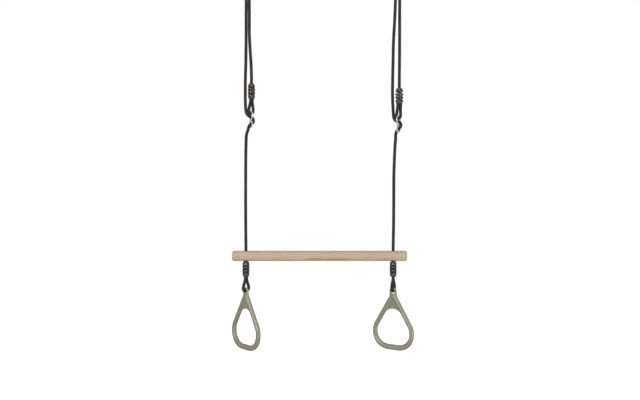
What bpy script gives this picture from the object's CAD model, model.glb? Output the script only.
"""Hanging trapeze with gym rings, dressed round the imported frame. Metres and degrees, +Z up, the bar along X,
the front towards -Y, the origin straight above the bar's middle and level with the hooks' seats in the two
hanging rings."""

import math

import bmesh
import bpy
import numpy as np
from mathutils import Matrix, Vector


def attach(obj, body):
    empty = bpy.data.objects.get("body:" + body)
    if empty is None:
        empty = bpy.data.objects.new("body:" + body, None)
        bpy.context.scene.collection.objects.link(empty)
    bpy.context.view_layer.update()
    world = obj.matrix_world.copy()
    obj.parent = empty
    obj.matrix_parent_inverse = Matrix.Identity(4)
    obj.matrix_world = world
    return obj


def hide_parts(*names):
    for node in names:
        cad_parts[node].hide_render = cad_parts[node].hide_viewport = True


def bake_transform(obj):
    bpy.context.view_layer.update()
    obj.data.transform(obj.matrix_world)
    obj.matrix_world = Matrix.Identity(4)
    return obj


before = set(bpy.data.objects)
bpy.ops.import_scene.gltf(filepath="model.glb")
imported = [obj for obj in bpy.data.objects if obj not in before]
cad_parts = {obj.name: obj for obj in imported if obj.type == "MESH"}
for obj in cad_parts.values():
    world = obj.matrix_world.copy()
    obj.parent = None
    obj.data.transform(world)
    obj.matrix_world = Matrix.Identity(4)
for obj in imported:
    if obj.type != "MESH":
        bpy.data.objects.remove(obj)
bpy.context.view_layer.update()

MM = 0.001

# Camera, level and facing +Y, as the photograph was taken
CAMERA_DISTANCE = 2.045
CAMERA_X = 0.0015
CAMERA_Z = -0.781
VIEW_WIDTH = 2.131  # seen across the picture at the bar's distance
SENSOR_WIDTH = 36.0  # in millimetres, as a camera has it
FLOOR_SIZE = (14, 14, 0.02)
FLOOR_Z = -2.2

# Rope
ROPE_RADIUS = 5 * MM
ROPE_PAIR_GAP = 0.4 * MM  # between the two legs in a sleeve
LEG_OFFSET = ROPE_RADIUS + ROPE_PAIR_GAP / 2
SEAT_GAP = 0.3 * MM  # between a rope and what it runs over or through
BRAID_STRANDS = 8  # each way round
BRAID_LEAD = 36 * MM  # one strand's full turn round the rope
BRAID_RELIEF = 0.3 * MM
VALLEY_SHARE = 0.35  # of the relief, below the rope's own radius
VALLEY_ROUNDNESS = 0.7
STRAND_YARNS = 5
TOP_REACH = 62 * MM  # of each strand that bends with the rope over the hanging ring
TOP_BEND_SHARE = 0.9  # of that reach, along which it bends

# Bar
BAR_LENGTH = 580 * MM
BAR_RADIUS = 17 * MM
BAR_END_RADIUS = 6 * MM
BAR_FACE_SHARES = (0.66, 0.33, 0.08)  # of the flat end's radius
BAR_HANG = 967 * MM  # from the origin down to the bar's middle
BAR_HOLE_X = 245 * MM
BAR_HOLE_RADIUS = 5.6 * MM
BAR_HOLE_EASE = 2.5 * MM
BAR_TOP = -BAR_HANG + BAR_RADIUS
BAR_FOOT = -BAR_HANG - BAR_RADIUS

# Hanging rings
HANGING_RING_X = (-240 * MM, 258.5 * MM)
HANGING_WIRE = 3.5 * MM
HANGING_RADIUS = 22.5 * MM
HANGING_Z = -19 * MM
HANGING_FOOT = HANGING_Z - HANGING_RADIUS
WELD_ANGLE = 165
WELD_HEIGHT = 0.35 * MM
WELD_WIDTH = 1.6 * MM
BEND_RADIUS = HANGING_WIRE + ROPE_RADIUS + SEAT_GAP

# Sleeves, with half widths and half depths, and depths below the top face at which the rope starts to move
# over, is on its leg's line, and ends in its tail
SLEEVE_LENGTH = 52 * MM
SLEEVE_HALF = (12.5 * MM, 11.1 * MM)
SLEEVE_RIB_HALF = (14.6 * MM, 12.2 * MM)
SLEEVE_RIB_THICKNESS = 5 * MM
SLEEVE_RIB_PITCH = 10.4 * MM
SLEEVE_CAP = 12.8 * MM
SLEEVE_WEB = (6 * MM, 21.4 * MM)  # whole width and depth
SLEEVE_ENTRY = 5 * MM
SLEEVE_CROSSOVER = 21 * MM
TAIL_DEPTH = 25 * MM
ROPE_BORE = ROPE_RADIUS + SEAT_GAP
BORE_LEAD = 2 * MM  # past the sleeve's top face
# Heights and widths as shares of each form's own height and half widths, from its foot up
TOP_CAP_SHARES = ((0, 1), (0.12, 1.04), (0.45, 0.99), (0.78, 0.86), (1, 0.66))
FOOT_CAP_SHARES = ((0, 0.78), (0.15, 0.88), (0.5, 0.97), (0.88, 1.04), (1, 1))
RIB_SHARES = ((0, 0.92), (0.2, 0.98), (0.5, 1), (0.8, 0.98), (1, 0.92))

# Adjusters, each placed by the middle of its top wire and turned about +Z. The shares are of the half width
# and of each eye's height, from the top wire to the crossing and from there down
ADJUSTER_X = (-228.5 * MM, 262.5 * MM)
ADJUSTER_Z = (-486 * MM, -501.8 * MM)
ADJUSTER_TURN = (36, -40)
ADJUSTER_WIRE = 2.1 * MM
ADJUSTER_HALF_WIDTH = 9.8 * MM
ADJUSTER_UPPER_EYE = 31 * MM
ADJUSTER_LOWER_EYE = 22 * MM
ADJUSTER_CROSSING = 2.2 * MM  # each pass, out from the plane of the eight
UPPER_EYE_SHARES = ((0, 0), (0.68, 0.07), (1, 0.32), (0.93, 0.57), (0.58, 0.81))
LOWER_EYE_SHARES = ((0.6, 0.2), (0.98, 0.5), (0.7, 0.87), (0, 1))

# The rope's eyes. The shares are of the drop from the sleeve's foot to the bight, measured from the bight,
# but for the spread, which is of the way from a leg's line out to the bow
UPPER_SLEEVE_X = (-226.6 * MM, 265.6 * MM)
UPPER_SLEEVE_TURN = (70, 22)
UPPER_EYE_DROP = 41 * MM
UPPER_EYE_BOW = 8.2 * MM
LOWER_SLEEVE_TURN = (78, 86)
LOWER_EYE_DROP = 38.8 * MM
LOWER_EYE_BOW = 10.9 * MM
PARTING_SHARE = 0.62
SHOULDER_SHARE = 0.33
SHOULDER_SPREAD = 0.57
TWIST_END_SHARE = 0.4
LIMB_GAP = 0.4 * MM  # between the rope and the gym ring's top limb
GYM_RING_YAW = (46.5, 32)

# Gym rings, with depths below the top of the eye
EYE_LIMB = 7.4 * MM
EYE_WIDTH = 26 * MM
EYE_HOLE_STRAIGHT = 4 * MM
EYE_FOOT = 33 * MM
EYE_Z = -EYE_WIDTH / 2
EYE_HOLE_RADIUS = EYE_WIDTH / 2 - EYE_LIMB
EYE_HOLE_Z = EYE_Z - EYE_HOLE_STRAIGHT
EYE_SEAT_RISE = 3 * MM  # above the hole's foot
EYE_SEAT_DEPTH = 2 * MM  # below the legs' feet
EYE_SEAT_SHARE = 0.9  # of the limb's thickness
HOLE_TOOL_DEPTH = 40 * MM
TUBE_RADIUS = 8.3 * MM
HAND_BAR_RADIUS = 9.55 * MM
GYM_RING_WIDTH = 149 * MM
GYM_RING_HEIGHT = 209 * MM
RAIL_ANGLE = 30.4  # of each rail's middle line from upright
RAIL_MEETING = 22.2 * MM  # where the two lines would meet
APEX_RADIUS = 8 * MM
SHOULDER_RADIUS = 43.7 * MM
CORNER_RADIUS = 47 * MM
WEB_THICKNESS = 5 * MM
WEB_TOP = 30 * MM
WEB_EDGE = 72 * MM  # the top of the arc that is its lower edge
WEB_EDGE_RADIUS = 35.8 * MM
WEB_CORNER = 91 * MM  # where that arc meets the rails

# How finely the meshes are made
ROUTE_SAMPLES = 48  # from one of a route's points to the next
ROPE_SIDES = 32
ROPE_STEP = 0.9 * MM
DOME_TIP = 0.02  # a domed end's flat tip, as a share of the rope's radius
PATH_POINTS = 60  # of each stretch of rope, as its declaration gives them
EDGE_STEPS = 9
BAR_SIDES = 96
BAR_STEPS = 12
HOLE_SIDES = 48
OVAL_SIDES = 64
BORE_SIDES = 32
WIRE_SIDES = 20
WIRE_THINNING = 8  # every eighth of the route's samples
HANGING_SIDES = 28
HANGING_STEPS = 128
TUBE_SIDES = 40
RAIL_STEPS = 24
HAND_BAR_STEPS = 16
EYE_SIDES = 28
EYE_LEG_STEPS = 14
ARC_STEP = 4
EYE_ARC_STEP = 6
SMALL_ARC_STEP = 8
SHARP_ANGLE = 40
SLEEVE_GRID = 0.5 * MM
SLEEVE_EASING = 3  # rounds of smoothing
GYM_RING_GRID = 0.75 * MM
GYM_RING_EASING = 12

SIDES = ("left", "right")
HAND = (-1, 1)
LOWER_SLEEVE_TOP = BAR_FOOT - SEAT_GAP
GYM_EYE_Z = LOWER_SLEEVE_TOP - SLEEVE_LENGTH - LOWER_EYE_DROP  # the middle of the gym ring's top limb

# The ropes' hand-chosen routes in millimetres, from the hanging ring down, as the frame has them
STRAND_TO_SLEEVE = (
    (
        (-231.4, 0, -60), (-233, 0.3, -88), (-233.9, 0.5, -115), (-233.8, 0.8, -175), (-233.6, 1, -236),
        (-231.2, 1, -282), (-228.4, 0.6, -323), (-226.7, 0.1, -366),
    ),
    (
        (267.2, 0, -62), (266.9, 0, -115), (266.6, 0, -175), (266.6, 0, -240), (266.3, 0, -310),
        (265.7, 0, -376),
    ),
)
STRAND_TO_ADJUSTER = (
    (
        (-248.5, 0, -60), (-245.8, -0.3, -88), (-244.4, -0.5, -115), (-244.3, -1, -175), (-244.4, -2, -248),
        (-245.1, -3, -323), (-246.3, -5.6, -382), (-246.2, -8.6, -430), (-245.7, -10.8, -452),
    ),
    (
        (249.9, 0, -62), (251.9, 0.2, -90), (252.6, 0.5, -118), (249.9, 1, -188), (246.6, 2, -248),
        (245.4, 3.5, -305), (244.3, 5.5, -365), (243.9, 8, -430), (245.2, 10.8, -464),
    ),
)
# Through the adjuster: out from its plane, and up from its top wire
RUN_THROUGH_ADJUSTER = (
    (-20.4, 16), (-19.7, 6), (-18.3, -3), (-14.4, -10.7), (-7.6, -16.1), (0, -18.5), (6.6, -22.6),
    (9.9, -31), (6.7, -38.6), (0, -43.2), (-5.6, -47.2), (-8.8, -54), (-10.8, -62),
)
RUN_TO_BAR = (
    (
        (-242.4, -5, -563), (-244.2, -3.4, -590), (-245.5, -2, -650), (-245.9, -1, -730), (-246, -0.4, -820),
        (-245.5, 0, -900),
    ),
    (
        (253.8, 4.4, -575), (251.7, 3.2, -600), (249.3, 2, -650), (247.6, 1.2, -700), (247.1, 0.7, -790),
        (246.4, 0.3, -870), (245.5, 0, -915),
    ),
)


# Meshes


def new_piece(name, vertices, faces):
    """An object at the origin with this mesh."""
    mesh = bpy.data.meshes.new(name)
    mesh.from_pydata(np.asarray(vertices, float).reshape(-1, 3).tolist(), [], faces)
    mesh.validate()
    mesh.shade_smooth()
    piece = bpy.data.objects.new(name, mesh)
    bpy.context.scene.collection.objects.link(piece)
    return piece


def skin_faces(rings, sides, round_path):
    """Quads between neighbouring rings of points, each ring closed on itself. An open skin gets a flat cap at
    each end."""
    ring, side = np.meshgrid(np.arange(rings if round_path else rings - 1), np.arange(sides), indexing="ij")
    here, after = ring * sides, ((ring + 1) % rings) * sides
    turn = (side + 1) % sides
    quads = np.stack((here + side, here + turn, after + turn, after + side), axis=-1).reshape(-1, 4)
    faces = quads.tolist()
    if not round_path:
        faces.append(list(range(sides))[::-1])
        faces.append([(rings - 1) * sides + side for side in range(sides)])
    return faces


def carried(centres, across, up, radii, sides):
    """A circle carried along a path: centre + radius * (across * cos(turn) + up * sin(turn)). The radius is
    one number, one for each centre, or one for each point."""
    turn = 2 * np.pi * np.arange(sides) / sides
    spread = across[:, None] * np.cos(turn)[:, None] + up[:, None] * np.sin(turn)[:, None]
    radii = np.asarray(radii, float)
    return centres[:, None] + spread * (radii[..., None] if radii.ndim == 2 else radii.reshape(-1, 1, 1))


def spun(name, line, radii, sides):
    """A circle of changing radius carried along a straight line along X or Z."""
    along = (line[-1] - line[0]) / np.linalg.norm(line[-1] - line[0])
    across = np.tile((0, 1.0, 0), (len(line), 1))
    points = carried(line, across, np.cross(along, across), radii, sides)
    return new_piece(name, points, skin_faces(len(line), sides, False))


def round_tangent(line):
    """The way from the point before to the point after, all round a closed line."""
    return np.roll(line, -1, axis=0) - np.roll(line, 1, axis=0)


def level_tube(name, line, radii, sides, round_path):
    """A circle carried along a line that lies in the XZ plane, its up always +Y."""
    tangent = round_tangent(line) if round_path else np.gradient(line, axis=0)
    tangent /= np.linalg.norm(tangent, axis=1, keepdims=True)
    up = np.tile((0, 1.0, 0), (len(line), 1))
    points = carried(line, np.cross(up, tangent), up, radii, sides)
    return new_piece(name, points, skin_faces(len(line), sides, round_path))


def finish_mesh(piece, *modifiers):
    """Applies modifiers, each a type with its settings, and leaves one plain mesh."""
    for kind, settings in modifiers:
        modifier = piece.modifiers.new(kind.title(), kind)
        for key, value in settings.items():
            setattr(modifier, key, value)
    finished = bpy.data.meshes.new_from_object(piece.evaluated_get(bpy.context.evaluated_depsgraph_get()))
    piece.modifiers.clear()
    old = piece.data
    finished.name = piece.name
    piece.data = finished
    bpy.data.meshes.remove(old)
    piece.data.shade_smooth()


def cut_away(piece, tools):
    """The piece less the tools, which are used up."""
    cuts = [("BOOLEAN", {"operation": "DIFFERENCE", "object": tool, "solver": "EXACT"}) for tool in tools]
    finish_mesh(piece, *cuts)
    for tool in tools:
        bpy.data.objects.remove(tool)


def moulded(name, solids, tools, voxel, rounds):
    """One moulded body: the solids melted together on a grid of this size, less the tools, its edges eased by
    moving each point towards its neighbours this many times."""
    body = solids[0]
    bm = bmesh.new()
    for solid in solids:
        bm.from_mesh(solid.data)
    bm.to_mesh(body.data)
    bm.free()
    for spare in solids[1:]:
        bpy.data.objects.remove(spare)
    body.name = name
    melt = ("REMESH", {"mode": "VOXEL", "voxel_size": voxel, "use_smooth_shade": True})
    finish_mesh(body, melt)
    cut_away(body, tools)
    finish_mesh(body, melt, ("SMOOTH", {"factor": 0.5, "iterations": rounds}))
    return body


def place(piece, turn, x, z):
    """Turns a finished mesh about +Z and moves it, so that its object stays at the origin."""
    piece.data.transform(Matrix.Translation((x, 0, z)) @ Matrix.Rotation(math.radians(turn), 4, "Z"))


def dress(piece, material, slot, node, *bodies, **ends):
    """Gives a piece its material, and says which node it stands for and what it rides on: one body, or two
    that it bends or stretches between."""
    piece.data.materials.clear()
    piece.data.materials.append(material)
    if ends:
        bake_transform(piece)
    else:
        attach(piece, *bodies)
    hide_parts(node)


# Rope routes


def direction(degrees):
    """The level unit vector at this angle about +Z from +X."""
    turn = math.radians(degrees)
    return np.array((math.cos(turn), math.sin(turn), 0.0))


def eye_points(sleeve, bight, bow):
    """Down one leg in the sleeve, round the bight on a half ellipse and up the other leg. The plane of the
    legs turns from the sleeve's to the bight's on the way. A sleeve is x, top and turn, a bight x, z, turn
    and radius."""
    (sleeve_x, top, sleeve_turn), (bight_x, bight_z, bight_turn, radius) = sleeve, bight
    foot = top - SLEEVE_LENGTH
    drop = foot - bight_z

    def at(offset, z):
        low = min(max((foot - z) / drop, 0), 1)
        twisted = min(low / (1 - TWIST_END_SHARE), 1)
        turn = sleeve_turn + (bight_turn - sleeve_turn) * twisted
        return np.array((sleeve_x + (bight_x - sleeve_x) * low, 0, z)) + offset * direction(turn)

    shoulder = LEG_OFFSET + (bow - LEG_OFFSET) * SHOULDER_SPREAD
    parting_z, shoulder_z = bight_z + drop * PARTING_SHARE, bight_z + drop * SHOULDER_SHARE
    bends = [math.radians(angle) for angle in (0, -45, -90, -135, -180)]
    return [
        at(0, top),
        at(0, top - SLEEVE_ENTRY),
        at(LEG_OFFSET, top - SLEEVE_CROSSOVER),
        at(LEG_OFFSET, foot),
        at(LEG_OFFSET, parting_z),
        at(shoulder, shoulder_z),
        *(at(bow * math.cos(bend), bight_z + radius * math.sin(bend)) for bend in bends),
        at(-shoulder, shoulder_z),
        at(-LEG_OFFSET, parting_z),
        at(-LEG_OFFSET, foot),
        at(-LEG_OFFSET, top - TAIL_DEPTH),
    ]


EYE_LEG_POINTS = 4  # the first of the eye's points, from the sleeve's top face to its foot
EYE_TAIL_POINTS = 2  # the last, in the sleeve's foot and at the tail's end


def upper_eye(side):
    """The eye round the adjuster's top wire."""
    z = ADJUSTER_Z[side]
    sleeve = (UPPER_SLEEVE_X[side], z + UPPER_EYE_DROP + SLEEVE_LENGTH, UPPER_SLEEVE_TURN[side])
    bight = (ADJUSTER_X[side], z, ADJUSTER_TURN[side], ADJUSTER_WIRE + ROPE_RADIUS + SEAT_GAP)
    return eye_points(sleeve, bight, UPPER_EYE_BOW)


def lower_eye(side):
    """The eye round the gym ring's limb, under the bar."""
    x = HAND[side] * BAR_HOLE_X
    sleeve = (x, LOWER_SLEEVE_TOP, LOWER_SLEEVE_TURN[side])
    bight = (x, GYM_EYE_Z, 90 - GYM_RING_YAW[side], EYE_LIMB / 2 + ROPE_RADIUS + LIMB_GAP)
    return eye_points(sleeve, bight, LOWER_EYE_BOW)


def catmull_rom(points):
    """A centripetal Catmull-Rom curve through the points: a cubic between each pair, whose slopes come from
    the square roots of the spans' lengths."""
    points = np.asarray(points, float)
    padded = np.vstack((2 * points[0] - points[1], points, 2 * points[-1] - points[-2]))
    gaps = np.sqrt(np.linalg.norm(np.diff(padded, axis=0), axis=1))[:, None]
    before, here, after, beyond = padded[:-3], padded[1:-2], padded[2:-1], padded[3:]
    d0, d1, d2 = gaps[:-2], gaps[1:-1], gaps[2:]
    out = ((here - before) / d0 - (after - before) / (d0 + d1) + (after - here) / d1) * d1
    into = ((after - here) / d1 - (beyond - here) / (d1 + d2) + (beyond - after) / d2) * d1
    t = (np.arange(ROUTE_SAMPLES) / ROUTE_SAMPLES)[None, :, None]
    here, after, out, into = (a[:, None, :] for a in (here, after, out, into))
    curve = (
        here * (2 * t**3 - 3 * t**2 + 1)
        + out * (t**3 - 2 * t**2 + t)
        + after * (3 * t**2 - 2 * t**3)
        + into * (t**3 - t**2)
    )
    return np.vstack((curve.reshape(-1, 3), points[-1]))


def frames_along(curve):
    """A pair of crosswise vectors along a path that turn as little as they can: +Y laid square to the path,
    turned back by the running sum of its own twist."""
    tangent = np.gradient(curve, axis=0)
    tangent /= np.linalg.norm(tangent, axis=1, keepdims=True)
    side = np.array((0, 1.0, 0)) - tangent * tangent[:, 1:2]
    side /= np.linalg.norm(side, axis=1, keepdims=True)
    other = np.cross(tangent, side)
    twist = np.append(0, np.cumsum((np.diff(side, axis=0) * other[1:]).sum(axis=1)))[:, None]
    across = side * np.cos(twist) - other * np.sin(twist)
    return across, np.cross(tangent, across)


class Rope:
    """One side's rope from tail to tail, with the lengths along it at which its stretches part."""

    def __init__(self, side):
        crown = np.array((HANGING_RING_X[side], 0, HANGING_FOOT))
        bends = [math.radians(angle) for angle in (0, 45, 90, 135, 180)]
        over = [crown + BEND_RADIUS * np.array((math.cos(bend), 0, math.sin(bend))) for bend in bends]
        adjuster = np.array((ADJUSTER_X[side], 0, ADJUSTER_Z[side]))
        outward = direction(ADJUSTER_TURN[side])
        through = [
            adjuster + outward * out * MM + np.array((0, 0, up * MM)) for out, up in RUN_THROUGH_ADJUSTER
        ]
        # each stretch of points with the mark that it starts from, if it starts from one
        parts = (
            ("upper_tail", upper_eye(side)[::-1]),
            ("upper_sleeve", np.array(STRAND_TO_SLEEVE[side][::-1]) * MM),
            (None, over[:1]),
            ("bend_in", over[1:]),
            ("bend_out", np.array(STRAND_TO_ADJUSTER[side]) * MM),
            (None, through[:1]),
            ("adjuster_in", through[1:]),
            ("adjuster_out", np.array(RUN_TO_BAR[side]) * MM),
            (None, [(HAND[side] * BAR_HOLE_X, 0, BAR_TOP)]),
            ("bar_top", lower_eye(side)[:1]),
            ("bar_foot", lower_eye(side)[1:]),
        )
        points, marks = [], {}
        for name, stretch in parts:
            if name:
                marks[name] = max(len(points) - 1, 0)
            points.extend(stretch)
        marks["lower_tail"] = len(points) - 1
        self.curve = catmull_rom(points)
        self.length = np.append(0, np.cumsum(np.linalg.norm(np.diff(self.curve, axis=0), axis=1)))
        self.marks = {name: self.length[at * ROUTE_SAMPLES] for name, at in marks.items()}
        self.across, self.up = frames_along(self.curve)

    def at(self, lengths, values):
        """What one of the curve's arrays holds at these lengths along it, straight between its samples."""
        return np.stack([np.interp(lengths, self.length, column) for column in values.T], axis=-1)

    def stretch(self, name, start, end, domed=()):
        """The braided tube from one length to another, and the path that it follows. Its radius is the rope's
        less relief * (valley share - |cos a * cos b| ** roundness), where a and b are the phases of the two
        families of strands, which run round in opposite ways as they run along. A domed end shrinks by the
        square root of 1 - (1 - distance / radius) squared."""
        along = np.linspace(start, end, int(round((end - start) / ROPE_STEP)) + 1)
        shrink = np.ones(len(along))
        for near in domed:
            depth = np.clip(np.abs(along - near) / ROPE_RADIUS, DOME_TIP, 1)
            shrink *= np.sqrt(1 - (1 - depth) ** 2)
        turns = np.arange(ROPE_SIDES) / ROPE_SIDES
        a, b = (np.pi * BRAID_STRANDS * (turns + way * along[:, None] / BRAID_LEAD) for way in (1, -1))
        relief = BRAID_RELIEF * (VALLEY_SHARE - np.abs(np.cos(a) * np.cos(b)) ** VALLEY_ROUNDNESS)
        centres, across, up = (self.at(along, values) for values in (self.curve, self.across, self.up))
        points = carried(centres, across, up, (ROPE_RADIUS - relief) * shrink[:, None], ROPE_SIDES)
        piece = new_piece(name, points, skin_faces(len(along), ROPE_SIDES, False))
        wrap_braid(piece, along)
        return piece, self.at(np.linspace(start, end, PATH_POINTS), self.curve)


def wrap_braid(piece, along):
    """A UV map: turns round the rope, and the braid's leads along it. The last face of each ring ends at 1
    and not back at 0."""
    loops = np.empty(len(piece.data.loops), np.int64)
    piece.data.loops.foreach_get("vertex_index", loops)
    across = (loops % ROPE_SIDES) / ROPE_SIDES
    quads = across[: (len(along) - 1) * ROPE_SIDES * 4].reshape(-1, 4)
    quads += (quads.max(axis=1, keepdims=True) - quads) > 0.5
    layer = piece.data.uv_layers.new(name="Braid")
    layer.data.foreach_set("uv", np.stack((across, along[loops // ROPE_SIDES] / BRAID_LEAD), axis=-1).ravel())


# Materials


def linear(colour):
    """A hex sRGB colour as linear light."""
    parts = [int(colour[i : i + 2], 16) / 255 for i in (1, 3, 5)]
    return (*((p / 12.92) if p <= 0.04045 else ((p + 0.055) / 1.055) ** 2.4 for p in parts), 1.0)


def add(tree, kind, inputs=(), stops=(), **settings):
    """Adds a node with its settings, a ramp's stops, and its inputs by name or number. An input that is a
    node or a socket is linked, and a hex colour is turned to linear light."""
    made = tree.nodes.new(kind)
    for key, value in settings.items():
        setattr(made, key, value)
    for at, (position, colour) in enumerate(stops):
        element = made.color_ramp.elements[at] if at < 2 else made.color_ramp.elements.new(position)
        element.position = position
        element.color = linear(colour)
    for key, value in dict(inputs).items():
        named = [socket for socket in made.inputs if socket.enabled and socket.name == key]
        socket = named[0] if named else made.inputs[key]
        if isinstance(value, bpy.types.Node):
            value = next(output for output in value.outputs if output.enabled)
        if isinstance(value, bpy.types.NodeSocket):
            tree.links.new(value, socket)
        else:
            socket.default_value = linear(value) if isinstance(value, str) else value
    return made


def new_material(name, **shader):
    """A material with these numbers on its shader, its nodes, and its patterns' Object coordinates."""
    material = bpy.data.materials.new(name)
    material.use_nodes = True
    tree = material.node_tree
    surface = tree.nodes["Principled BSDF"]
    for key, value in shader.items():
        surface.inputs[key.replace("_", " ")].default_value = value
    return material, tree, add(tree, "ShaderNodeTexCoord").outputs["Object"]


def surfaced(tree, colour, roughness, height, depth):
    """Links what the nodes work out to the shader: colour, roughness, and a height as bump of this depth."""
    surface = tree.nodes["Principled BSDF"]
    relief = add(tree, "ShaderNodeBump", {"Height": height, "Distance": depth})
    for name, node in (("Base Color", colour), ("Roughness", roughness), ("Normal", relief)):
        tree.links.new(next(output for output in node.outputs if output.enabled), surface.inputs[name])


def steamed_beech():
    """Steamed beech, turned and sanded: a pale greyish tan, with faint growth rings, short brown ray flecks
    along the grain, and drifts of pink and green as long as a hand."""
    material, tree, coords = new_material("steamed_beech", IOR=1.5, Specular_IOR_Level=0.35)
    pith = (0, 46 * MM, BAR_HANG + 31 * MM)
    grain = add(tree, "ShaderNodeMapping", {"Vector": coords, "Location": pith})
    looks = {}
    # lengths along the grain and across it
    for name, length, width, detail in (
        ("drift", 110 * MM, 13 * MM, 2), ("fibres", 40 * MM, 0.7 * MM, 3), ("flecks", 4 * MM, 1 * MM, 1),
    ):
        scale = (1 / length, 1 / width, 1 / width)
        stretched = add(tree, "ShaderNodeMapping", {"Vector": grain, "Scale": scale})
        looks[name] = add(tree, "ShaderNodeTexNoise", {"Vector": stretched, "Scale": 1.0, "Detail": detail})
    year = 3.4 * MM
    # at a scale of 1 the rings of this texture are pi / 10 apart
    rings = add(tree, "ShaderNodeTexWave", {
        "Vector": grain,
        "Scale": math.pi / (10 * year),
        "Distortion": 9.0,
        "Detail": 1.0,
        "Detail Scale": 0.08,
    }, wave_type="RINGS", rings_direction="X", wave_profile="SAW")
    colour = add(tree, "ShaderNodeValToRGB", {"Fac": looks["drift"]},
                 stops=((0.3, "#C0B69A"), (0.5, "#C7B59B"), (0.7, "#CBB29C")))
    for value, stops in (
        (rings.outputs["Fac"], ((0.0, "#DDD6CD"), (0.3, "#FFFFFF"), (0.85, "#F8F5F2"), (1.0, "#DDD6CD"))),
        (looks["fibres"], ((0.35, "#DFD7CC"), (0.6, "#FFFFFF"))),
        (looks["flecks"], ((0.64, "#FFFFFF"), (0.74, "#BBA68E"))),
    ):
        shade = add(tree, "ShaderNodeValToRGB", {"Fac": value}, stops=stops)
        colour = add(tree, "ShaderNodeMix", {"Factor": 1.0, "A": colour, "B": shade},
                     data_type="RGBA", blend_type="MULTIPLY")
    roughness = add(tree, "ShaderNodeMapRange", {"Value": looks["fibres"], "To Min": 0.45, "To Max": 0.66})
    surfaced(tree, colour, roughness, looks["fibres"], depth=0.06 * MM)
    return material


def braided_polyester():
    """Braided polyester: charcoal yarn in two families of strands that pass over and under each other, each
    of several fine yarns, dry and without gloss."""
    material, tree, coords = new_material("braided_polyester", IOR=1.45, Specular_IOR_Level=0.15)
    uv = add(tree, "ShaderNodeSeparateXYZ", {0: add(tree, "ShaderNodeUVMap", uv_map="Braid")})
    yarns, cells = [], []
    for way in ("ADD", "SUBTRACT"):
        phase = add(tree, "ShaderNodeMath", {0: uv.outputs["X"], 1: uv.outputs["Y"]}, operation=way)
        strands = add(tree, "ShaderNodeMath", {0: phase, 1: BRAID_STRANDS, 2: 0.5}, operation="MULTIPLY_ADD")
        split = add(tree, "ShaderNodeMath", {0: strands, 1: STRAND_YARNS}, operation="MULTIPLY")
        yarns.append(add(tree, "ShaderNodeMath", {0: split, 1: 0.5}, operation="PINGPONG"))
        cells.append(add(tree, "ShaderNodeMath", {0: strands}, operation="FLOOR"))
    cell = add(tree, "ShaderNodeMath", {0: cells[0], 1: cells[1]}, operation="ADD")
    over = add(tree, "ShaderNodeMath", {0: cell, 1: 1.0}, operation="PINGPONG")
    yarn = add(tree, "ShaderNodeMix", {"Factor": over, "A": yarns[1], "B": yarns[0]})
    fuzz_size, worn_size = 1.2 * MM, 30 * MM
    fuzz = add(tree, "ShaderNodeTexNoise", {"Vector": coords, "Scale": 1 / fuzz_size, "Detail": 2.0})
    worn = add(tree, "ShaderNodeTexNoise", {"Vector": coords, "Scale": 1 / worn_size, "Detail": 2.0})
    shade = add(tree, "ShaderNodeMath", {0: yarn, 1: 0.7, 2: fuzz}, operation="MULTIPLY_ADD")
    tone = add(tree, "ShaderNodeValToRGB", {"Fac": shade}, stops=((0.4, "#292828"), (0.85, "#403E3E")))
    wear = add(tree, "ShaderNodeValToRGB", {"Fac": worn}, stops=((0.4, "#D8D8D8"), (0.7, "#FFFFFF")))
    colour = add(tree, "ShaderNodeMix", {"Factor": 1.0, "A": tone, "B": wear},
                 data_type="RGBA", blend_type="MULTIPLY")
    roughness = add(tree, "ShaderNodeMapRange", {"Value": fuzz, "To Min": 0.78, "To Max": 0.95})
    surfaced(tree, colour, roughness, yarn, depth=0.25 * MM)
    return material


def moulded_plastic(name, colours, gloss, sizes, depth, **shader):
    """A moulded plastic: a tint that drifts between two colours, a grain from the tool that breaks up the
    gloss, and a faint ripple where thick parts shrank. The sizes are those of the ripple and the grain."""
    material, tree, coords = new_material(name, **shader)
    ripple, grain = (
        add(tree, "ShaderNodeTexNoise", {"Vector": coords, "Scale": 1 / size, "Detail": 2.0})
        for size in sizes
    )
    tint = add(tree, "ShaderNodeValToRGB", {"Fac": ripple}, stops=((0.35, colours[0]), (0.65, colours[1])))
    roughness = add(tree, "ShaderNodeMapRange", {"Value": grain, "To Min": gloss[0], "To Max": gloss[1]})
    height = add(tree, "ShaderNodeMath", {0: grain, 1: 0.3, 2: ripple}, operation="MULTIPLY_ADD")
    surfaced(tree, tint, roughness, height, depth)
    return material


def zinc_plated_wire():
    """Bright zinc-plated steel wire: pale, shiny under a thin milky film, blurred by drawing marks and dulled
    here and there."""
    material, tree, coords = new_material("zinc_plated_wire", Metallic=0.6)
    patch_size, mark_size = 7 * MM, 1.1 * MM
    dull, marks = (
        add(tree, "ShaderNodeTexNoise", {"Vector": coords, "Scale": 1 / size, "Detail": 3.0})
        for size in (patch_size, mark_size)
    )
    tint = add(tree, "ShaderNodeValToRGB", {"Fac": dull}, stops=((0.35, "#EEEFEF"), (0.7, "#D6D7D6")))
    roughness = add(tree, "ShaderNodeMapRange", {"Value": dull, "To Min": 0.2, "To Max": 0.4})
    surfaced(tree, tint, roughness, marks, depth=0.02 * MM)
    return material


# Pieces


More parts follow.
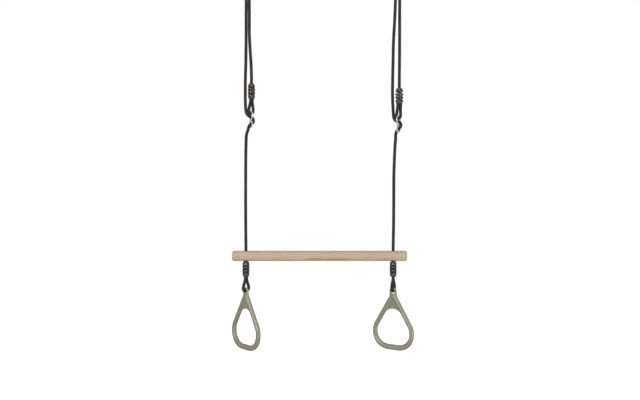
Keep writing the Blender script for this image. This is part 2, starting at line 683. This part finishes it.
def bar_blank():
    """A turned cylinder: radius against length, with quarter-round ends, spun about X."""
    bend = np.linspace(0, np.pi / 2, EDGE_STEPS)
    end_x = BAR_LENGTH / 2 - BAR_END_RADIUS * (1 - np.sin(bend))
    end_r = BAR_RADIUS - BAR_END_RADIUS * (1 - np.cos(bend))
    face_r = end_r[-1] * np.array(BAR_FACE_SHARES)
    shaft_x = np.linspace(0, end_x[0], BAR_STEPS)[:-1]
    half_x = np.concatenate((shaft_x, end_x, face_r * 0 + BAR_LENGTH / 2))
    half_r = np.concatenate((shaft_x * 0 + BAR_RADIUS, end_r, face_r))
    x = np.concatenate((-half_x[:0:-1], half_x))
    axis = np.stack((x, x * 0, x * 0 - BAR_HANG), axis=-1)
    return spun("beech_bar", axis, np.concatenate((half_r[:0:-1], half_r)), BAR_SIDES)


def bar_hole(hand):
    """What a rope's hole takes out of the bar: an upright cylinder that flares at both mouths by a quarter
    round, radius + ease * (1 - cos(angle))."""
    bend = np.linspace(0, np.pi / 2, EDGE_STEPS)
    mouth_z = np.append(BAR_RADIUS - BAR_HOLE_EASE * (1 - np.sin(bend)), BAR_RADIUS + BAR_HOLE_EASE)
    mouth_r = BAR_HOLE_RADIUS + BAR_HOLE_EASE * np.append(1 - np.cos(bend), 1)
    z = np.concatenate((-mouth_z[::-1], mouth_z)) - BAR_HANG
    axis = np.stack((z * 0 + hand * BAR_HOLE_X, z * 0, z), axis=-1)
    return spun("hole", axis, np.concatenate((mouth_r[::-1], mouth_r)), HOLE_SIDES)


def wooden_bar(material):
    """The turned bar with its two rope holes, its sharp edges kept sharp."""
    body = bar_blank()
    cut_away(body, [bar_hole(hand) for hand in HAND])
    body.data.set_sharp_from_angle(angle=math.radians(SHARP_ANGLE))
    dress(body, material, "beech", "bar", "crossbar")


def oval_solid(half, foot, height, shares):
    """A stack of ovals: (half width * cos, half depth * sin) at each height, both times its share."""
    up, across = np.array(shares, float).T[:, :, None]
    turn = 2 * np.pi * np.arange(OVAL_SIDES) / OVAL_SIDES
    x, y = half[0] * across * np.cos(turn), half[1] * across * np.sin(turn)
    points = np.stack((x, y, foot + height * up + turn * 0), axis=-1)
    return new_piece("oval", points, skin_faces(len(shares), OVAL_SIDES, False))


def block(size, centre):
    """A plain box of six quads."""
    around = ((-1, -1), (1, -1), (1, 1), (-1, 1))
    corners = np.array([(x, y, z) for z in (-1, 1) for x, y in around], float)
    return new_piece("block", corners * np.asarray(size) / 2 + np.asarray(centre), skin_faces(2, 4, False))


def bore_tool(points):
    """A tube along one leg of the eye, in the sleeve's own frame."""
    curve = catmull_rom(points)
    across, up = frames_along(curve)
    points = carried(curve, across, up, ROPE_BORE, BORE_SIDES)
    return new_piece("bore", points, skin_faces(len(curve), BORE_SIDES, False))


def rope_sleeve(name, node, body, eye, turn, material):
    """The moulded clamp: two caps and two ribs joined by a web that shows in front and behind, melted into
    one body and bored along the rope's two legs. It is made unturned, with its top at zero, and then
    placed."""
    x, _, top = eye[0]
    solids = [
        oval_solid(SLEEVE_HALF, -SLEEVE_LENGTH, SLEEVE_CAP, FOOT_CAP_SHARES),
        oval_solid(SLEEVE_HALF, -SLEEVE_CAP, SLEEVE_CAP, TOP_CAP_SHARES),
        block((*SLEEVE_WEB, SLEEVE_LENGTH - SLEEVE_CAP), (0, 0, -SLEEVE_LENGTH / 2)),
    ]
    for hand in HAND:
        foot = -SLEEVE_LENGTH / 2 + hand * SLEEVE_RIB_PITCH / 2 - SLEEVE_RIB_THICKNESS / 2
        solids.append(oval_solid(SLEEVE_RIB_HALF, foot, SLEEVE_RIB_THICKNESS, RIB_SHARES))
    back = np.array(Matrix.Rotation(-math.radians(turn), 3, "Z"))
    own = (np.array(eye) - (x, 0, top)) @ back.T
    leg = np.vstack(((0, 0, BORE_LEAD), own[: EYE_LEG_POINTS + 1]))
    tail = np.vstack((own[-EYE_TAIL_POINTS - 1 :], own[-1] + (0, 0, SEAT_GAP)))
    sleeve = moulded(name, solids, [bore_tool(leg), bore_tool(tail)], SLEEVE_GRID, SLEEVE_EASING)
    place(sleeve, turn, x, top)
    dress(sleeve, material, "sleeve", node, body)


def wire_adjuster(name, node, body, side, material):
    """Round wire bent into a figure eight: a circle carried round a closed curve that crosses itself at the
    waist, one pass in front of the other."""

    def passing(hand):
        upper = [
            (0, hand * wide * ADJUSTER_HALF_WIDTH, -down * ADJUSTER_UPPER_EYE)
            for wide, down in UPPER_EYE_SHARES
        ]
        crossing = (hand * ADJUSTER_CROSSING, 0, -ADJUSTER_UPPER_EYE)
        lower = [
            (0, -hand * wide * ADJUSTER_HALF_WIDTH, -ADJUSTER_UPPER_EYE - down * ADJUSTER_LOWER_EYE)
            for wide, down in LOWER_EYE_SHARES
        ]
        return [*upper, crossing, *lower]

    loop = [*passing(1)[:-1], *passing(-1)[:0:-1]]
    # run on past both ends, so that the curve closes as smoothly as it runs elsewhere
    past = 2
    curve = catmull_rom([*loop[-past:], *loop, *loop[: past + 1]])
    curve = curve[past * ROUTE_SAMPLES : (len(loop) + past) * ROUTE_SAMPLES : WIRE_THINNING]
    tangent = round_tangent(curve)
    tangent /= np.linalg.norm(tangent, axis=1, keepdims=True)
    across = np.cross(tangent, (1.0, 0, 0))
    across /= np.linalg.norm(across, axis=1, keepdims=True)
    points = carried(curve, across, np.cross(tangent, across), ADJUSTER_WIRE, WIRE_SIDES)
    piece = new_piece(name, points, skin_faces(len(curve), WIRE_SIDES, True))
    place(piece, ADJUSTER_TURN[side], ADJUSTER_X[side], ADJUSTER_Z[side])
    dress(piece, material, "steel", node, body)


def welded_ring(name, node, side, material):
    """A torus standing in the YZ plane, thickened where its ends are butt welded at the front: by the weld's
    height * exp(-(distance / weld's width) squared)."""
    turn = 2 * np.pi * np.arange(HANGING_STEPS) / HANGING_STEPS
    outward = np.stack((turn * 0, np.cos(turn), np.sin(turn)), axis=-1)
    centres = outward * HANGING_RADIUS + np.array((HANGING_RING_X[side], 0, HANGING_Z))
    gap = np.abs(turn - np.radians(WELD_ANGLE)) * HANGING_RADIUS
    weld = WELD_HEIGHT * np.exp(-((gap / WELD_WIDTH) ** 2))
    along_x = np.tile((1.0, 0, 0), (len(turn), 1))
    points = carried(centres, along_x, outward, HANGING_WIRE + weld, HANGING_SIDES)
    piece = new_piece(name, points, skin_faces(len(turn), HANGING_SIDES, True))
    dress(piece, material, "steel", node, "hanging_rings")


def arc(centre_x, centre_z, radius, start, end, step=ARC_STEP):
    """Points on a circle in the XZ plane, about this many degrees apart."""
    turns = np.radians(np.linspace(start, end, int(abs(end - start) / step) + 1))
    x, z = centre_x + radius * np.cos(turns), centre_z + radius * np.sin(turns)
    return np.stack((x, turns * 0, z), axis=-1)


def rail_path():
    """Right half of the middle line of the ring's tube: a corner arc, a shoulder arc and an apex arc, joined
    by straight runs."""
    half = GYM_RING_WIDTH / 2 - TUBE_RADIUS
    foot = -GYM_RING_HEIGHT + HAND_BAR_RADIUS
    lean = math.radians(RAIL_ANGLE)
    shoulder_x = half - SHOULDER_RADIUS
    bend_x = shoulder_x + SHOULDER_RADIUS * math.cos(lean)
    shoulder_z = -RAIL_MEETING - bend_x / math.tan(lean) - SHOULDER_RADIUS * math.sin(lean)
    apex_z = -RAIL_MEETING - APEX_RADIUS / math.sin(lean)
    corner = arc(half - CORNER_RADIUS, foot + CORNER_RADIUS, CORNER_RADIUS, -90, 0)
    shoulder = arc(shoulder_x, shoulder_z, SHOULDER_RADIUS, 0, RAIL_ANGLE)
    apex = arc(0, apex_z, APEX_RADIUS, RAIL_ANGLE, 90, SMALL_ARC_STEP)
    runs = [np.linspace(a[-1], b[0], RAIL_STEPS)[1:-1] for a, b in ((corner, shoulder), (shoulder, apex))]
    return np.vstack((corner, runs[0], shoulder, runs[1], apex))


def flat_plate(outline, thickness):
    """A closed outline in the XZ plane, anticlockwise from the front, given a thickness along Y."""
    faces = np.stack([np.array(outline) + (0, y, 0) for y in (thickness / 2, -thickness / 2)])
    return new_piece("plate", faces, skin_faces(2, len(outline), False))


def ring_tube():
    """A circle carried round the rails and along the hand bar. It thickens in the corners as rise squared *
    (3 - 2 * rise), where rise is the share of the corner's height."""
    half = rail_path()
    mirrored = (half * (-1, 1, 1))[-2::-1]
    hand_bar = np.linspace(mirrored[-1], half[0], HAND_BAR_STEPS)[1:-1]
    line = np.vstack((half, mirrored, hand_bar))
    rise = np.clip((line[:, 2] - half[0][2]) / CORNER_RADIUS, 0, 1)
    radii = HAND_BAR_RADIUS + (TUBE_RADIUS - HAND_BAR_RADIUS) * rise * rise * (3 - 2 * rise)
    return level_tube("tube", line, radii, TUBE_SIDES, True)


def ring_eye():
    """A circle carried up one leg, over a half circle and down the other leg."""
    limb = EYE_LIMB / 2
    arch = arc(0, EYE_Z, EYE_WIDTH / 2 - limb, 0, 180, EYE_ARC_STEP)
    leg = np.linspace((0, 0, -EYE_FOOT - EYE_Z), (0, 0, 0), EYE_LEG_STEPS)[:-1]
    line = np.vstack((arch[0] + leg, arch, (arch[-1] + leg)[::-1]))
    return level_tube("eye", line, limb, EYE_SIDES, False)


def eye_seat():
    """The block between the eye's legs that the hole ends in."""
    top = EYE_HOLE_Z - EYE_HOLE_RADIUS + EYE_SEAT_RISE
    foot = -EYE_FOOT - EYE_SEAT_DEPTH
    size = (2 * EYE_HOLE_RADIUS + EYE_LIMB, EYE_SEAT_SHARE * EYE_LIMB, top - foot)
    return block(size, (0, 0, (top + foot) / 2))


def eye_hole():
    """What the rope's hole takes out of the eye: a slot with round ends, right through."""
    over = arc(0, EYE_Z, EYE_HOLE_RADIUS, 0, 180, SMALL_ARC_STEP)
    under = arc(0, EYE_HOLE_Z, EYE_HOLE_RADIUS, 180, 360, SMALL_ARC_STEP)
    return flat_plate(np.vstack((over, under)), HOLE_TOOL_DEPTH)


def ring_web():
    """A plate between the rails under the apex, whose lower edge is an arc."""
    edge_z = -WEB_EDGE - WEB_EDGE_RADIUS
    edge_turn = math.degrees(math.asin((edge_z + WEB_CORNER) / -WEB_EDGE_RADIUS))
    corner_x = (WEB_CORNER - RAIL_MEETING) * math.tan(math.radians(RAIL_ANGLE))
    edge = arc(0, edge_z, WEB_EDGE_RADIUS, 180 - edge_turn, edge_turn)
    outline = ((0, 0, -WEB_TOP), (-corner_x, 0, -WEB_CORNER), *edge, (corner_x, 0, -WEB_CORNER))
    return flat_plate(outline, WEB_THICKNESS)


def gym_ring(name, node, body, side, material):
    """A rounded triangle of thick tube with a thin web under its apex and a round-sectioned eye on top,
    melted into one body so that each joint has the fillet of a moulding."""
    solids = [ring_tube(), ring_eye(), eye_seat(), ring_web()]
    ring = moulded(name, solids, [eye_hole()], GYM_RING_GRID, GYM_RING_EASING)
    ring.data.transform(Matrix.Translation((0, 0, EYE_LIMB / 2)))
    place(ring, -GYM_RING_YAW[side], HAND[side] * BAR_HOLE_X, GYM_EYE_Z)
    dress(ring, material, "ring", node, body)


def dress_rope(side, material):
    """All stretches of one rope. Those between two bodies bend or stretch from one to the other."""
    word = SIDES[side]
    rope = Rope(side)
    marks = rope.marks
    strands, lock, lower, hanger = (
        f"{word}_{body}" for body in ("strands", "height_lock", "lower_rope", "ring_hanger")
    )
    into, out = marks["bend_in"] - TOP_REACH, marks["bend_out"] + TOP_REACH
    past_top, above_top = marks["bar_top"] + ROPE_RADIUS, marks["bar_top"] - ROPE_RADIUS
    # a stretch's name, the frame's node, its two ends along the rope, those that are domed, and its bodies
    stretches = (
        ("bar_rope", "rope_in_bar", above_top, marks["bar_foot"], (above_top,), ("crossbar",)),
        ("upper_eye_rope", "rope_upper_eye", marks["upper_tail"], marks["upper_sleeve"], (), (lock,)),
        ("eye_strand_rope", "rope_eye_strand", marks["upper_sleeve"], into, (), (lock, strands)),
        ("top_bend_rope", "rope_top_bend", into, out, (), ("rope_tops", strands)),
        ("running_strand_rope", "rope_running_strand", out, marks["adjuster_in"], (), (strands, lock)),
        ("adjuster_rope", "rope_adjuster_run", marks["adjuster_in"], marks["adjuster_out"], (), (lock,)),
        ("drop_rope", "rope_drop", marks["adjuster_out"], past_top, (past_top,), (lock, lower)),
        ("lower_eye_rope", "rope_lower_eye", marks["bar_foot"], marks["lower_tail"], (), (hanger,)),
    )
    crown = Vector((HANGING_RING_X[side], 0, HANGING_FOOT))
    # the run in the bar comes first, as it has no cord of its own and goes with the drop's
    for ending, node, start, end, domed, bodies in stretches:
        piece, path = rope.stretch(f"{word}_{ending}", start, end, domed)
        ends = {"start": path[0], "end": path[-1]} if len(bodies) == 2 else {}
        if ending == "top_bend_rope":
            ends = {"start": crown, "end": crown - Vector((0, 0, TOP_BEND_SHARE * TOP_REACH))}
        dress(piece, material, "rope", f"{word}_{node}", *bodies, **ends)
        if ending == "bar_rope":
            continue


# Stage


def photo_camera():
    """A level camera whose lens is sensor width * distance / width of the view."""
    data = bpy.data.cameras.new("camera")
    data.sensor_width = SENSOR_WIDTH
    data.lens = SENSOR_WIDTH * CAMERA_DISTANCE / VIEW_WIDTH
    camera = bpy.data.objects.new("camera", data)
    camera.location = (CAMERA_X, -CAMERA_DISTANCE, CAMERA_Z)
    camera.rotation_euler = (math.pi / 2, 0, 0)
    bpy.context.scene.collection.objects.link(camera)
    bpy.context.scene.camera = camera


def soft_light(name, place_at, size, watts):
    """A square soft box that faces the middle of the object."""
    data = bpy.data.lights.new(name, "AREA")
    data.size = size
    data.energy = watts
    lamp = bpy.data.objects.new(name, data)
    lamp.location = place_at
    aim = Vector((0, 0, CAMERA_Z)) - Vector(place_at)
    lamp.rotation_euler = aim.to_track_quat("-Z", "Y").to_euler()
    bpy.context.scene.collection.objects.link(lamp)


def white_studio():
    """White all round to the eye, dimmer as light and dimmest in reflections, so that round things shade off
    towards their edges."""
    world = bpy.data.worlds.new("studio")
    bpy.context.scene.world = world
    world.use_nodes = True
    tree = world.node_tree
    tree.nodes.clear()
    ray = add(tree, "ShaderNodeLightPath")
    shown = add(tree, "ShaderNodeBackground", {"Color": "#F6F7FA", "Strength": 0.68})
    for outcome, strength in (("Is Glossy Ray", 0.2), ("Is Camera Ray", 1.0)):
        other = add(tree, "ShaderNodeBackground", {"Color": "#FFFFFF", "Strength": strength})
        shown = add(tree, "ShaderNodeMixShader", {0: ray.outputs[outcome], 1: shown, 2: other})
    add(tree, "ShaderNodeOutputWorld", {"Surface": shown})
    bpy.context.scene.view_settings.view_transform = "Standard"

    floor = block(FLOOR_SIZE, (0, 0, FLOOR_Z))
    floor.name = "floor"
    material, _, _ = new_material(
        "white_paper", Base_Color=linear("#F4F4F4"), Emission_Color=linear("#FFFFFF"), Emission_Strength=1.0)
    floor.data.materials.append(material)
    floor.visible_diffuse = False
    floor.visible_glossy = False


photo_camera()
white_studio()
soft_light("key", (-0.8, -2.5, -0.15), size=0.8, watts=32)
soft_light("fill", (1.9, -2.1, -1.8), size=0.8, watts=18)
soft_light("top", (-0.2, -1.5, 1.2), size=0.4, watts=7)

rope_material = braided_polyester()
wire_material = zinc_plated_wire()
# Black polypropylene, moulded in a polished tool: nearly black, with soft bright highlights on its ribs
sleeve_material = moulded_plastic(
    "moulded_polypropylene",
    colours=("#3C3737", "#4C4544"),
    gloss=(0.14, 0.26),
    sizes=(6 * MM, 0.7 * MM),
    depth=0.12 * MM,
    IOR=1.49,
    Specular_IOR_Level=0.9,
)
# Grey-green ABS, moulded in an eroded tool: satin, with a fine even grain and a slight drift in its tint
ring_material = moulded_plastic(
    "moulded_abs",
    colours=("#858473", "#8D8D7A"),
    gloss=(0.26, 0.38),
    sizes=(70 * MM, 0.9 * MM),
    depth=0.05 * MM,
    IOR=1.53,
    Specular_IOR_Level=0.85,
)
for side, word in enumerate(SIDES):
    lock, hanger = f"{word}_height_lock", f"{word}_ring_hanger"
    upper_turn, lower_turn = UPPER_SLEEVE_TURN[side], LOWER_SLEEVE_TURN[side]
    upper, lower = upper_eye(side), lower_eye(side)
    dress_rope(side, rope_material)
    rope_sleeve(f"{word}_upper_clamp", f"{word}_upper_sleeve", lock, upper, upper_turn, sleeve_material)
    rope_sleeve(f"{word}_lower_clamp", f"{word}_lower_sleeve", hanger, lower, lower_turn, sleeve_material)
    wire_adjuster(f"{word}_wire_eight", f"{word}_adjuster", lock, side, wire_material)
    welded_ring(f"{word}_steel_ring", f"{word}_hanging_ring", side, wire_material)
    gym_ring(f"{word}_triangle_ring", f"{word}_gym_ring", f"{word}_hand_ring", side, ring_material)
wooden_bar(steamed_beech())
